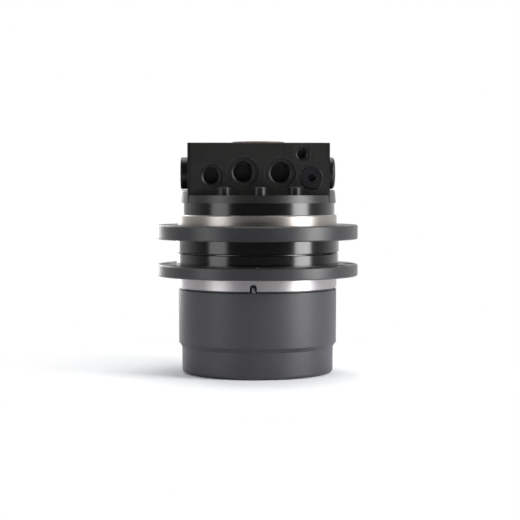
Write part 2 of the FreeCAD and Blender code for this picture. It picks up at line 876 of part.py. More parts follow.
def planet_2(azimuth):
    """One second-stage planet in mesh at its place on the spindle."""
    start = planet_phase(planet_2_teeth, azimuth)
    wheel = gear(planet_2_teeth, planet_2_bottom, planet_2_width, start, planet_2_bore)
    place = polar(planet_2_circle, azimuth)
    return shifted(wheel, place.x, place.y)


def planet_1_pins():
    """The carrier's three pins, each with a head under its planet."""
    head_radius = planet_1_pin_radius + 3.6
    head = cylinder(head_radius, planet_1_bottom - 2.0, planet_1_bottom - face_gap, planet_1_circle)
    pin = cylinder(planet_1_pin_radius, planet_1_bottom - 1.0, carrier_top, planet_1_circle)
    return patterned(head.fuse(pin), planet_1_count)


def sun_shaft():
    """The long shaft with the first sun at its lower end and the coupling spline at its upper end."""
    start = sun_phase(sun_1_teeth, planet_1_teeth)
    pitch = module * sun_1_teeth / 2
    face = toothed_face(sun_1_teeth, pitch - dedendum, pitch + addendum, backlash / 2, start)
    teeth = shifted(face.extrude(at(0, 0, sun_1_width)), 0, 0, sun_1_bottom)
    stem = cylinder(sun_shaft_radius, sun_1_bottom + sun_1_width - 1, coupling_top() - 1)
    top = spline(12, *coupling_radii(0.0), coupling_bottom() + 1.0, coupling_top() - 1.0)
    return teeth.fuse(stem).fuse(top)


def coupling_bottom():
    """The lower end of the motor shaft, where the sun shaft's spline goes in."""
    return spindle_end + 3.0


def coupling_top():
    """The bottom of the spline bore in the motor shaft, measured upwards."""
    return coupling_bottom() + 14.0


def coupling_radii(clearance):
    """Root and tip of the spline between the two shafts, let out by a clearance."""
    root = sun_shaft_radius + 0.4
    return root + clearance, root + spline_depth + clearance


# ------------------------------------------------------------------ the hydraulic motor
def bearing_journal():
    """The shaft's radius inside its ball bearing."""
    return shaft_radius + 0.5


def motor_shaft():
    """The shaft: coupling bore, seal surface, bearing seat with shoulder, block spline, rear journal."""
    needle_journal = shaft_radius - 3.0
    outline = [
        (0, coupling_bottom()),
        (shaft_radius - 0.6, coupling_bottom()),
        (shaft_radius, coupling_bottom() + 0.6),
        (shaft_radius, shaft_bearing_bottom),
        (bearing_journal(), shaft_bearing_bottom),
        (bearing_journal(), shaft_bearing_top),
        (bearing_journal() + 3.0, shaft_bearing_top),
        (bearing_journal() + 3.0, swash_face - 1.0),
        (shaft_radius - 1.0, swash_face + 1.0),
        (shaft_radius - 1.0, cylinder_bottom + 3.0),
        (needle_journal, cylinder_bottom + 3.0),
        (needle_journal, needle_top() - 1.0),
        (0, needle_top() - 1.0),
    ]
    shaft = turned(outline)
    shaft = shaft.cut(spline(12, *coupling_radii(0.1), coupling_bottom() - 1, coupling_top()))
    drive = spline(14, *block_spline_radii(0.0), cylinder_bottom + 2.0, cylinder_top - 4.0)
    return shaft.fuse(drive)


def block_spline_radii(clearance):
    """Root and tip of the spline that drives the cylinder block, let out by a clearance."""
    root = shaft_radius - 2.2
    return root + clearance, root + spline_depth + clearance


def needle_top():
    """The closed end of the rear bearing's bore in the valve block."""
    return valve_plate_top + needle_bearing_height + 1.0


def cylinder_block():
    """The cylinder block: nine bores, the shaft spline, and the spline that drives the brake discs."""
    block = cylinder(cylinder_block_radius, cylinder_bottom, cylinder_top)
    edge = circle_edges(block, cylinder_block_radius, cylinder_top)
    edge += circle_edges(block, cylinder_block_radius, cylinder_bottom)
    block = block.makeChamfer(1.0, edge)
    drive = spline(24, *disc_spline_radii(0.0), cylinder_bottom + 1.2, brake_pack_top + 1.0)
    block = block.fuse(drive)
    bore_radius = piston_radius + running_clearance / 2
    bore = cylinder(bore_radius, cylinder_bottom - 1, cylinder_top - 4.0, piston_circle)
    port = cylinder(2.6, cylinder_top - 5.0, cylinder_top + 1.0, piston_circle)
    cuts = patterned(bore, piston_count) + patterned(port, piston_count)
    cuts.append(spline(14, *block_spline_radii(0.1), cylinder_bottom - 1, cylinder_top + 1))
    cuts.append(cylinder(shaft_radius - 0.6, cylinder_bottom - 1, cylinder_bottom + 3.4))
    return block.cut(cuts)


def disc_spline_radii(clearance):
    """Root and tip of the spline under the brake's friction discs, let out by a clearance."""
    root = cylinder_block_radius + 0.3
    return root + clearance, root + spline_depth + clearance


def slipper_ball_height():
    """The height of the piston ball's centre in its slipper."""
    return swash_face + slipper_height + piston_ball_radius - 0.4


def pistons():
    """Nine pistons, each with its ball end in a slipper."""
    ball = Part.makeSphere(piston_ball_radius, at(piston_circle, 0, slipper_ball_height()))
    neck = cylinder(2.0, slipper_ball_height(), cylinder_bottom + 2.0, piston_circle)
    low = cylinder_bottom + 0.5
    body = cylinder(piston_radius, low, low + piston_length - 2.0, piston_circle)
    body = body.makeChamfer(0.5, circle_edges(body, piston_radius, low))
    return patterned(body.fuse(neck).fuse(ball), piston_count)


def slippers():
    """Nine slippers on the swash plate, each closed round a piston's ball."""
    top = slipper_ball_height() + 1.6
    outline = [
        (0, swash_face + 0.05),
        (slipper_radius, swash_face + 0.05),
        (slipper_radius, swash_face + slipper_height - 0.4),
        (slipper_neck_radius, swash_face + slipper_height),
        (slipper_neck_radius, top),
        (0, top),
    ]
    shoe = shifted(turned(outline), piston_circle, 0)
    centre = at(piston_circle, 0, slipper_ball_height())
    socket = Part.makeSphere(piston_ball_radius + seat_clearance, centre)
    return patterned(shoe.cut(socket), piston_count)


def retainer_plate():
    """The plate that holds the slippers down, with a hole round each slipper's neck."""
    bottom = retainer_bottom()
    plate = ring(shaft_radius, piston_circle + slipper_radius + 2.0, bottom, bottom + retainer_thickness)
    hole = cylinder(slipper_neck_radius + 0.25, bottom - 1, bottom + retainer_thickness + 1, piston_circle)
    return plate.cut(patterned(hole, piston_count)).cut(retainer_sphere(0.0))


def retainer_bottom():
    """The height of the retainer plate's lower face, just above the slippers' skirts."""
    return swash_face + slipper_height + 0.2


def retainer_sphere(clearance):
    """The sphere on which the retainer plate can tilt."""
    centre = at(0, 0, retainer_bottom() - retainer_ball_drop)
    return Part.makeSphere(retainer_ball_radius - clearance, centre)


def retainer_ball():
    """The round-backed guide on the shaft that carries the retainer plate."""
    inner = shaft_radius - 1.0 + seat_clearance
    keep = ring(inner, retainer_ball_radius + 5, retainer_bottom(), cylinder_bottom - face_gap)
    return retainer_sphere(seat_clearance).common(keep)


def swash_plate():
    """The swash plate on the cavity floor, drawn square to the shaft."""
    inner = bearing_journal() + 3.0 + 1.0
    plate = ring(inner, motor_cavity_radius - 0.5, cavity_floor, swash_face)
    return plate.makeChamfer(1.0, circle_edges(plate, motor_cavity_radius - 0.5, swash_face))


def valve_plate():
    """The valve plate with two kidney ports, one for each direction of flow."""
    bottom = valve_plate_top - valve_plate_thickness
    plate = ring(shaft_radius - 1.5, cylinder_block_radius - 1.0, bottom, valve_plate_top)
    cuts = []
    for centre in (0.0, math.pi):
        outer = kidney(centre, 2.4)
        cuts.append(shifted(outer.extrude(at(0, 0, valve_plate_thickness + 2)), 0, 0, bottom - 1))
    return plate.cut(cuts)


def kidney(centre, half_width):
    """The flat outline of a curved slot on the piston circle."""
    span = math.radians(66)
    inner = piston_circle - half_width
    outer = piston_circle + half_width
    start, end = centre - span, centre + span
    start_cap = polar(piston_circle, start - half_width / piston_circle)
    end_cap = polar(piston_circle, end + half_width / piston_circle)
    edges = [
        Part.Arc(polar(inner, start), polar(inner, centre), polar(inner, end)),
        Part.Arc(polar(inner, end), end_cap, polar(outer, end)),
        Part.Arc(polar(outer, end), polar(outer, centre), polar(outer, start)),
        Part.Arc(polar(outer, start), start_cap, polar(inner, start)),
    ]
    return Part.Face(Part.Wire([edge.toShape() for edge in edges]))


def shaft_bearing_race(outer_side):
    """The outer or inner ring of the shaft's ball bearing."""
    middle = shaft_ball_circle()
    height = shaft_bearing_bottom + shaft_bearing_width / 2
    if outer_side:
        inner, outer = middle + 2.0, shaft_radius + shaft_bearing_section
    else:
        inner, outer = bearing_journal() + seat_clearance, middle - 2.0
    race = ring(inner, outer, shaft_bearing_bottom, shaft_bearing_top)
    return race.cut(torus(middle, shaft_ball_radius + ball_clearance, height))


def shaft_ball_circle():
    """The radius of the ball circle in the shaft's bearing."""
    return (bearing_journal() + shaft_radius + shaft_bearing_section) / 2


def shaft_bearing_balls():
    """The balls of the shaft's bearing."""
    height = shaft_bearing_bottom + shaft_bearing_width / 2
    ball = Part.makeSphere(shaft_ball_radius, at(shaft_ball_circle(), 0, height))
    return patterned(ball, shaft_ball_count)


def shaft_seal():
    """The lip seal pressed in below the shaft's bearing."""
    top = seal_bore_bottom + shaft_seal_height
    outer = shaft_radius + shaft_seal_section
    outline = [
        (shaft_radius + 0.1, seal_bore_bottom + 2.0),
        (shaft_radius + 1.4, seal_bore_bottom),
        (outer, seal_bore_bottom),
        (outer, top),
        (outer - 1.5, top),
        (outer - 1.5, seal_bore_bottom + 2.0),
        (shaft_radius + 2.6, seal_bore_bottom + 2.0),
        (shaft_radius + 2.0, seal_bore_bottom + 4.4),
        (shaft_radius + 0.8, seal_bore_bottom + 4.4),
    ]
    return turned(outline)


def rear_needle_bearing():
    """The drawn-cup needle bearing in the valve block, drawn as one sleeve."""
    inner = shaft_radius - 3.0 + running_clearance
    top = valve_plate_top + needle_bearing_height
    return ring(inner, inner + needle_bearing_section, valve_plate_top, top)


# ------------------------------------------------------------------ the parking brake
def brake_steel_plates():
    """Steel plates held in the case, between the friction discs."""
    plates = []
    for index in range(brake_plate_count):
        bottom = brake_seat + 2 * index * brake_pitch
        plates.append(ring(brake_plate_inner, brake_plate_outer, bottom, bottom + brake_plate_thickness))
    return plates


def brake_friction_discs():
    """Friction discs on the cylinder block's outer spline."""
    discs = []
    for index in range(brake_plate_count - 1):
        bottom = brake_seat + (2 * index + 1) * brake_pitch
        top = bottom + brake_plate_thickness
        disc = cylinder(brake_disc_outer, bottom, top)
        discs.append(disc.cut(spline(24, *disc_spline_radii(0.1), bottom - 1, top + 1)))
    return discs


def brake_piston():
    """The stepped ring that presses the plates together, shown with the brake on."""
    top = piston_nose + brake_piston_height
    outline = [
        (brake_plate_inner, piston_nose),
        (brake_plate_outer - face_gap, piston_nose),
        (brake_plate_outer - face_gap, brake_piston_seat + face_gap),
        (brake_piston_radius, brake_piston_seat + face_gap),
        (brake_piston_radius, top),
        (brake_plate_inner, top),
    ]
    return turned(outline)


def brake_spring():
    """The conical disc spring between the brake piston and the valve block."""
    low = piston_nose + brake_piston_height + 0.1
    high = joint_face - 0.1
    outline = [
        (brake_plate_inner + 1, high - brake_spring_thickness),
        (brake_plate_inner + 1, high),
        (brake_piston_radius - 1, low + brake_spring_thickness),
        (brake_piston_radius - 1, low),
    ]
    return turned(outline)


# ------------------------------------------------------------------ the valve block
def screw_places():
    """The places of the six short screws, three in front and three behind."""
    places = []
    for middle in (-math.pi / 2, math.pi / 2):
        for step in (-1, 0, 1):
            places.append(polar(screw_circle, middle + step * screw_pitch))
    return places


def long_screw_places():
    """The places of the two long screws that go down through the block."""
    return [at(side * long_screw_x, long_screw_y, 0) for side in (-1, 1)]


def along_y(radius, x, z, front, back):
    """A level cylinder along Y between two places."""
    return Part.makeCylinder(radius, back - front, at(x, front, z), at(0, 1, 0))


def along_x(radius, z, low, high):
    """A level cylinder along X on the middle plane."""
    return Part.makeCylinder(radius, high - low, at(low, 0, z), at(1, 0, 0))


def port_cut(name):
    """The spot face and the bore of one port."""
    x, height, face_radius, face_depth, bore_radius, bore_depth = ports[name]
    z = joint_face + height
    front = port_face_y
    face = along_y(face_radius, x, z, front - 2, front + face_depth)
    bore = along_y(bore_radius, x, z, front, front + bore_depth)
    start = at(x, front + face_depth, z)
    mouth = Part.makeCone(bore_radius + port_mouth, bore_radius, port_mouth, start, at(0, 1, 0))
    return face.fuse(bore).fuse(mouth)


def valve_block():
    """The cast block: round flange, rectangular body with a raised port face, boss, bores and recesses."""
    ledge_outline = [
        (0, joint_face),
        (ledge_radius, joint_face),
        (ledge_radius - ledge_draft + 0.3, ledge_top - 2.0),
        (ledge_radius - ledge_draft - 0.3, ledge_top - 0.6),
        (ledge_radius - ledge_draft - 1.7, ledge_top),
        (0, ledge_top),
    ]
    flange = turned(ledge_outline)
    reach = flange_radius
    front_shelf = box((-reach, -reach, shelf_top), (reach, -block_front, ledge_top + 1))
    rear_shelf = box((-reach, block_rear, shelf_top), (reach, reach, ledge_top + 1))
    flange = flange.cut([front_shelf, rear_shelf])
    body = box((-block_half_width, -block_front, joint_face), (block_half_width, block_rear, block_top))
    for side in (-1, 1):
        edge = side * (pad_half_width + block_half_width) / 2
        half = (block_half_width - pad_half_width) / 2
        low = (edge - half, -block_front - 1, ledge_top)
        corner = box(low, (edge + half, -block_front + pad_step, block_top + 1))
        body = body.cut(corner)
    body = body.common(cylinder(block_corner_radius, joint_face - 1, block_top + 1))
    body = body.makeFillet(block_edge_radius, rim_edges(body, block_top))
    boss = cylinder(boss_radius, block_top - 2, boss_top)
    boss = boss.makeFillet(block_edge_radius, circle_edges(boss, boss_radius, boss_top))
    block = flange.fuse(body).fuse(boss)
    cuts = [port_cut(name) for name in ports]
    cuts.append(cylinder(cylinder_block_radius + 2.5, joint_face - 1, cylinder_top))
    cuts.append(cylinder(cylinder_block_radius - 1.0 + seat_clearance, joint_face - 1, valve_plate_top))
    cuts.append(cylinder(needle_outer() + seat_clearance, joint_face - 1, needle_top()))
    cuts.append(along_x(spool_radius + running_clearance / 2, spool_axis, -reach, reach))
    for side in (-1, 1):
        low = side * (block_half_width - cap_plug_length - face_gap)
        high = side * reach
        cuts.append(along_x(cap_plug_radius + seat_clearance, spool_axis, min(low, high), max(low, high)))
    for place in screw_places():
        cuts.append(cylinder(screw_radius + 0.4, joint_face - 1, shelf_top + 1, place.x, place.y))
    for place in long_screw_places():
        cuts.append(cylinder(screw_radius + 0.4, joint_face - 1, block_top + 1, place.x, place.y))
        seat = block_top - screw_head_height
        cuts.append(cylinder(screw_head_radius + 0.5, seat, block_top + 1, place.x, place.y))
    return block.cut(cuts)


def needle_outer():
    """The outside radius of the rear needle bearing."""
    return shaft_radius - 3.0 + running_clearance + needle_bearing_section


def screw(head_seat, place):
    """One socket-head screw, from its seat down into the case."""
    top = head_seat + screw_head_height
    head = cylinder(screw_head_radius, head_seat, top, place.x, place.y)
    head = head.makeChamfer(0.6, circle_edges(head, screw_head_radius, top))
    shank = cylinder(screw_radius, joint_face - screw_grip, head_seat + 1, place.x, place.y)
    socket = hexagon(screw_socket_radius, top - screw_socket_depth, top + 1, place.x, place.y)
    return head.fuse(shank).cut(socket)


def block_bolts():
    """All eight screws that hold the valve block on the case."""
    screws = [screw(shelf_top, place) for place in screw_places()]
    screws += [screw(block_top - screw_head_height, place) for place in long_screw_places()]
    return screws


def spool_cap(side):
    """One spool cap: a round head outside the block and a hollow plug in its bore."""
    outer = block_half_width + cap_length
    head = along_x(cap_radius, spool_axis, block_half_width, outer)
    rim = [edge for edge in head.Edges if edge.BoundBox.XMin > outer - 0.01]
    head = head.makeFillet(cap_edge[side], rim)
    plug = along_x(cap_plug_radius, spool_axis, block_half_width - cap_plug_length, block_half_width + 1)
    bottom = block_half_width - cap_plug_length
    pocket = along_x(spring_radius + spring_wire_radius + 0.6, spool_axis, bottom - 1, block_half_width)
    half = o_ring_radius + groove_slack
    low, high = cap_seal_place() - half, cap_seal_place() + half
    groove = along_x(cap_plug_radius + 1, spool_axis, low, high)
    groove = groove.cut(along_x(cap_plug_radius - 2 * o_ring_radius - groove_slack, spool_axis, low, high))
    socket = hexagon(6.0, outer - 5.0, outer + 1)
    socket.rotate(at(0, 0, 0), at(0, 1, 0), 90)
    socket.translate(at(0, 0, spool_axis))
    cap = head.fuse(plug).cut([pocket, groove, socket])
    return cap if side > 0 else spun(cap, math.pi)


def spool():
    """The counterbalance spool, with three lands and two grooves."""
    body = along_x(spool_radius, spool_axis, -spool_half_length, spool_half_length)
    cuts = []
    for side in (-1, 1):
        middle = side * spool_half_length / 2.4
        outer = along_x(spool_radius + 1, spool_axis, middle - 7.0, middle + 7.0)
        inner = along_x(spool_radius - 3.0, spool_axis, middle - 8.0, middle + 8.0)
        cuts.append(outer.cut(inner))
    return body.cut(cuts)


def spool_springs():
    """The two coil springs that centre the spool."""
    length = block_half_width - spool_half_length - 2 * face_gap
    pitch = (length - 2 * spring_wire_radius) / spring_turns
    path = Part.makeHelix(pitch, pitch * spring_turns, spring_radius)
    start = at(spring_radius, 0, 0)
    wire = Part.Wire(Part.makeCircle(spring_wire_radius, start, at(0, 1, 0)))
    coil = Part.Wire(path.Edges).makePipeShell([wire], True, True)
    springs = []
    for side in (-1, 1):
        copy = coil.copy()
        copy.rotate(at(0, 0, 0), at(0, 1, 0), side * 90)
        copy.translate(at(side * (spool_half_length + face_gap + spring_wire_radius), 0, spool_axis))
        springs.append(copy)
    return springs


def screw_plug():
    """The socket-head plug in the fourth port."""
    x, height, face_radius, face_depth, bore_radius, bore_depth = ports["plugged"]
    z = joint_face + height
    front = port_face_y
    head = along_y(face_radius - 0.4, x, z, front - 1.0, front + face_depth)
    rim = [edge for edge in head.Edges if abs(edge.BoundBox.YMax - (front - 1.0)) < 0.01]
    head = head.makeChamfer(1.0, rim)
    shank = along_y(bore_radius - seat_clearance, x, z, front + face_depth - 1, front + bore_depth - 3)
    socket = hexagon(3.3, -6, 1)
    socket.rotate(at(0, 0, 0), at(1, 0, 0), 90)
    socket.translate(at(x, front - 1.0, z))
    return head.fuse(shank).cut(socket)


# ------------------------------------------------------------------ every node of the assembly
def build():
    """Make every node and write it."""
    pin_1 = needles(needle_1_count, planet_1_pin_radius, planet_1_circle, planet_1_bottom, planet_1_top)
    pin_2 = needles(needle_2_count, planet_2_pin_radius, planet_2_circle, planet_2_bottom, planet_2_top)
    nodes = {
        "motor_case": motor_case(),
        "valve_block": valve_block(),
        "block_bolts": block_bolts(),
        "static_o_rings": static_o_rings(),
        "spool_cap_left": spool_cap(-1),
        "spool_cap_right": spool_cap(1),
        "port_screw_plug": screw_plug(),
        "valve_plate": valve_plate(),
        "swash_plate": swash_plate(),
        "shaft_seal": shaft_seal(),
        "shaft_bearing_outer_ring": shaft_bearing_race(True),
        "rear_needle_bearing": rear_needle_bearing(),
        "main_bearing_inner_rings": [bearing_inner_ring(lower_bearing), bearing_inner_ring(upper_bearing)],
        "bearing_nut": bearing_nut(),
        "planet_2_pins": planet_2_pins(),
        "planet_2_needles": [spun(roller, angle) for angle in around(planet_2_count) for roller in pin_2],
        "planet_2_retainers": planet_2_retainers(),
        "seal_ring_static": seal_ring(seal_face + 0.03, 1),
        "brake_steel_plates": brake_steel_plates(),
        "brake_piston": brake_piston(),
        "brake_disc_spring": brake_spring(),
        "sprocket_hub": sprocket_hub(),
        "ring_gear_housing": ring_gear_housing(),
        "lock_pin": lock_pin(),
        "end_cover": end_cover(),
        "hub_o_rings": hub_o_rings(),
        "cover_wire_ring": cover_wire_ring(),
        "oil_plugs": oil_plugs(),
        "thrust_button": thrust_button(),
        "main_bearing_outer_rings": [bearing_outer_ring(lower_bearing), bearing_outer_ring(upper_bearing)],
        "seal_ring_rotating": seal_ring(seal_face - 0.03, -1),
        "bearing_balls_lower": bearing_balls(lower_bearing, 0.0),
        "bearing_balls_upper": bearing_balls(upper_bearing, math.pi / main_ball_count),
        "motor_shaft": motor_shaft(),
        "cylinder_block": cylinder_block(),
        "pistons": pistons(),
        "slippers": slippers(),
        "retainer_plate": retainer_plate(),
        "retainer_ball": retainer_ball(),
        "sun_shaft": sun_shaft(),
        "shaft_bearing_inner_ring": shaft_bearing_race(False),
        "brake_friction_discs": brake_friction_discs(),
        "shaft_bearing_balls": shaft_bearing_balls(),
        "carrier_1": carrier_1(),
        "sun_gear_2": sun_gear_2(),
        "planet_1_pins": planet_1_pins(),
        "planet_1_needles": [spun(roller, angle) for angle in around(planet_1_count) for roller in pin_1],
        "spool": spool(),
        "spool_springs": spool_springs(),
    }
    for letter, azimuth in zip("abc", around(planet_1_count)):
        nodes["planet_1" + letter] = planet_1(azimuth)
    for letter, azimuth in zip("abcd", around(planet_2_count)):
        nodes["planet_2" + letter] = planet_2(azimuth)
    os.makedirs(PARTS, exist_ok=True)
    for name, shape in nodes.items():
        save(name, shape)


def cover_wire_ring():
    """The round wire ring that holds the cover in, open at one place for fitting."""
    wire = torus(cover_radius, wire_ring_radius, wire_ring_height())
    return wire.cut(box((cover_radius - 5, -4, base), (cover_radius + 5, 4, cover_bottom)))


if __name__ == "__main__":
    build()
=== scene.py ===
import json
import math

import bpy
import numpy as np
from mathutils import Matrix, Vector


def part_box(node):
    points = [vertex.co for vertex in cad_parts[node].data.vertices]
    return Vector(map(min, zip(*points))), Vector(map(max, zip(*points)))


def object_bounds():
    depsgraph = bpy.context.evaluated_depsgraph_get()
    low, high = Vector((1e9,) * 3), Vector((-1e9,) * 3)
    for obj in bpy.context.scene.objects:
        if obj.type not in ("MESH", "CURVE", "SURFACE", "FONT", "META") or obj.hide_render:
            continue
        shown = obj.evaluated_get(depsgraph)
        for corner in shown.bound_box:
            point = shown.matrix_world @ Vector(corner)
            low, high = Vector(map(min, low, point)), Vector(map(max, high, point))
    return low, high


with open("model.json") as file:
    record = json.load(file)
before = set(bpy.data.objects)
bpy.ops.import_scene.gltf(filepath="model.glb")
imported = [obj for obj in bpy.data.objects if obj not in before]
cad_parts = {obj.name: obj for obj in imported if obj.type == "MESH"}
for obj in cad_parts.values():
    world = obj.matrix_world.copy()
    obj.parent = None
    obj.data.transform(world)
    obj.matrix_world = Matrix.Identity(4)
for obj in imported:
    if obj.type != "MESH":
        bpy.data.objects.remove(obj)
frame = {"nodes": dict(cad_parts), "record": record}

# %% [markdown]
# # An excavator's final drive
# A final drive is the motor and gearbox that turn one track of an excavator. Under the black valve
# block sits a hydraulic motor in a cast case with a flange for the track frame. The drum below turns
# on big bearings and carries the sprocket. The solid model comes in as a fixed frame, in metres, with
# every node at its place. This lesson gives every node its finish and sets a small studio round it.
# The shapes are the solid model's own.

cad_low, cad_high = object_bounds()
nodes = frame["nodes"]
record = frame["record"]
mounts = {mount["name"]: mount for mount in record["mounts"]}
mm = 0.001
print("nodes:", len(nodes))
print("box from", [round(v, 4) for v in cad_low], "to", [round(v, 4) for v in cad_high])

# %% [markdown]
# ## Levels and radii
# The finishes change with height: the two machined bands are bare, the rings between the flanges are
# glossy and the drum is dull. The outside levels are read from a node's box or a mount. The others
# lie inside a node's box, where nothing in the frame gives them, so they are written here in metres.

# %% Levels that the finishes share
case_low, case_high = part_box("motor_case")
block_low, block_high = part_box("valve_block")
hub_low, hub_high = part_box("sprocket_hub")
drum_low, drum_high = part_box("ring_gear_housing")
frame_face = mounts["frame_face"]["pos_m"][2]
sprocket_face = mounts["sprocket_face"]["pos_m"][2]
flange_radius = case_high[0]
band_radius = 0.079
band_least_radius = 0.0765
band_low = 0.0846
band_high = 0.15685
joint_face = 0.16855
block_top = joint_face + 0.0588
case_flange_low = 0.13255
hub_flange_high = 0.1077
drum_step = 0.0285
drum_radius = drum_high[0]
foot_radius = 0.07555
port_face = -0.037
print("frame face", frame_face, "sprocket face", sprocket_face, "drum radius", round(drum_radius, 5))
print("case", [round(v, 5) for v in (*case_low, *case_high)])
print("hub", [round(v, 5) for v in (*hub_low, *hub_high)])
print("block", [round(v, 5) for v in (*block_low, *block_high)])

# %% [markdown]
# ## The studio
# Dark paint is drawn by what it mirrors. Two tall soft lamps stand in front, to the right and to the
# left, so each round band shows a bright strip on either side. Two more light the top and the back.
# The studio wall behind the part is white and the room in front of it is dark, which keeps the
# middle of the black rings black and lights up their edges.


# %% One function adds a node, with its settings and its links
def add(tree, kind, settings=None, links=None):
    """A shader node of a kind, its properties and sockets set, and its inputs linked by name.

    A link may name a socket, or a node, which then gives its first enabled output.
    """
    node = tree.nodes.new("ShaderNode" + kind)
    for name, value in (settings or {}).items():
        if isinstance(name, str) and hasattr(node, name):
            setattr(node, name, value)
        else:
            node.inputs[name].default_value = value
    for name, source in (links or {}).items():
        if hasattr(source, "outputs"):
            source = next(socket for socket in source.outputs if socket.enabled)
        tree.links.new(source, node.inputs[name])
    return node


def linear(hex_colour):
    """A linear colour with alpha from an sRGB hex value such as 2F3034."""
    channels = [int(hex_colour[i : i + 2], 16) / 255 for i in (0, 2, 4)]
    curved = [c / 12.92 if c <= 0.04045 else ((c + 0.055) / 1.055) ** 2.4 for c in channels]
    return (*curved, 1.0)


# %% Sky
scene = bpy.context.scene
scene.view_settings.view_transform = "Standard"
world = bpy.data.worlds.new("studio_sky")
scene.world = world
world.use_nodes = True
sky = world.node_tree
sky.nodes.clear()
path = add(sky, "LightPath")
toward = add(sky, "SeparateXYZ", links={0: add(sky, "TexCoord").outputs["Generated"]})
limits = {"From Min": -0.35, "From Max": 0.75, "To Min": 0.06, "To Max": 1.0}
behind = add(sky, "MapRange", {"interpolation_type": "SMOOTHSTEP", **limits}, {"Value": toward.outputs["Y"]})
dim = add(sky, "Background", {"Color": (0.86, 0.92, 1.0, 1), "Strength": 0.30})
wall = add(sky, "Background", {"Color": (1, 1, 1, 1)}, {"Strength": behind})
bright = add(sky, "Background", {"Color": (1, 1, 1, 1), "Strength": 1.0})
mirrored = add(sky, "MixShader", links={0: path.outputs["Is Glossy Ray"], 1: dim, 2: wall})
seen = add(sky, "Math", {"operation": "MAXIMUM"},
           {0: path.outputs["Is Camera Ray"], 1: path.outputs["Is Transmission Ray"]})
add(sky, "OutputWorld", links={"Surface": add(sky, "MixShader", links={0: seen, 1: mirrored, 2: bright})})

# %% Floor
floor_reach = 1.1
floor_sides = 96
turn = np.linspace(0, 2 * math.pi, floor_sides + 1)[:-1]
floor_rim = np.stack([np.cos(turn), np.sin(turn), 0 * turn], 1) * floor_reach
floor_mesh = bpy.data.meshes.new("floor")
floor_mesh.from_pydata(floor_rim, [], [list(range(floor_sides))])
floor = bpy.data.objects.new("floor", floor_mesh)
scene.collection.objects.link(floor)
floor.location.z = cad_low.z - 0.0005
paper = bpy.data.materials.new("white_paper_floor")
paper.use_nodes = True
tree = paper.node_tree
tree.nodes.clear()
path = add(tree, "LightPath")
away = add(tree, "VectorMath", {"operation": "LENGTH"}, {0: add(tree, "TexCoord").outputs["Object"]})
fade = add(tree, "MapRange", {"interpolation_type": "SMOOTHSTEP", "From Min": 0.085, "From Max": 0.30},
           {"Value": away.outputs["Value"]})
to_eye = add(tree, "Math", {"operation": "MULTIPLY"}, {0: path.outputs["Is Camera Ray"], 1: fade})
matte = add(tree, "BsdfDiffuse", {"Color": linear("F7F7F7")})
white = add(tree, "Emission", {"Color": (1, 1, 1, 1), "Strength": 1.0})
add(tree, "OutputMaterial", links={"Surface": add(tree, "MixShader", links={0: to_eye, 1: matte, 2: white})})
floor_mesh.materials.append(paper)
print("sky and floor are set")


# %% Lamps
def soft_lamp(name, azimuth, height, distance, width, tall, watts):
    """A rectangular lamp that looks at the part, azimuth in degrees from the port face towards +X."""
    light = bpy.data.lights.new(name, "AREA")
    light.shape = "RECTANGLE"
    light.size, light.size_y = width, tall
    light.energy = watts
    lamp = bpy.data.objects.new(name, light)
    scene.collection.objects.link(lamp)
    angle = math.radians(azimuth)
    place = Vector((distance * math.sin(angle), -distance * math.cos(angle), height))
    lamp.location = place
    lamp.rotation_euler = (Vector((0, 0, 0.11)) - place).to_track_quat("-Z", "Y").to_euler()


soft_lamp("right_softbox", 63, 0.45, 1.3, 0.62, 1.3, 30)
soft_lamp("left_softbox", -58, 0.45, 1.5, 0.75, 1.3, 10)
soft_lamp("top_softbox", 170, 1.5, 0.5, 1.2, 1.2, 14)
soft_lamp("rear_softbox", 205, 0.5, 1.6, 0.7, 1.2, 12)

# %% Camera
picture_side = 520
eye_distance = 1.457
eye_height = 0.180
eye_turn = math.radians(2.0)
eye_pitch = math.radians(-2.7)
aim_turn = math.atan(0.0025 / eye_distance)
camera_data = bpy.data.cameras.new("camera")
camera_data.sensor_width = 36.0
camera_data.lens = camera_data.sensor_width * eye_distance / (picture_side * mm)
camera = bpy.data.objects.new("camera", camera_data)
scene.collection.objects.link(camera)
camera.location = (-eye_distance * math.sin(eye_turn), -eye_distance * math.cos(eye_turn), eye_height)
heading = eye_turn + aim_turn
level = math.cos(eye_pitch)
look = Vector((math.sin(heading) * level, math.cos(heading) * level, math.sin(eye_pitch)))
camera.rotation_euler = look.to_track_quat("-Z", "Y").to_euler()
scene.camera = camera
print("lens", round(camera_data.lens, 2), "mm")

# %% [markdown]
# ## Reading a finish from the metal's own place
# Every finish is worked out from the point's own coordinates: its height, its distance from the axis
# and a few noises. A corner's line of wear and painted highlight needs the distance to that corner, so a
# turned edge is a point in the plane of radius and height, and the noise makes that line ragged.


# %% Shared measures of a point
def place_of(tree):
    """The sockets of a point's own vector, x, y, z, its distance from the axis, and (radius, height, 0)."""
    own = add(tree, "TexCoord").outputs["Object"]
    axes = add(tree, "SeparateXYZ", links={0: own})
    flat = add(tree, "CombineXYZ", links={0: axes.outputs[0], 1: axes.outputs[1]})
    radius = add(tree, "VectorMath", {"operation": "LENGTH"}, {0: flat}).outputs["Value"]
    profile = add(tree, "CombineXYZ", links={0: radius, 1: axes.outputs[2]})
    return own, axes.outputs[0], axes.outputs[1], axes.outputs[2], radius, profile


def between(tree, value, low, high, soft=0.0002):
    """1 where a value lies between two limits, and 0 a soft width outside them."""
    rise = add(tree, "MapRange", {"From Min": low - soft, "From Max": low + soft}, {"Value": value})
    limits = {"From Min": high - soft, "From Max": high + soft, "To Min": 1.0, "To Max": 0.0}
    fall = add(tree, "MapRange", limits, {"Value": value})
    return add(tree, "Math", {"operation": "MULTIPLY"}, {0: rise, 1: fall})


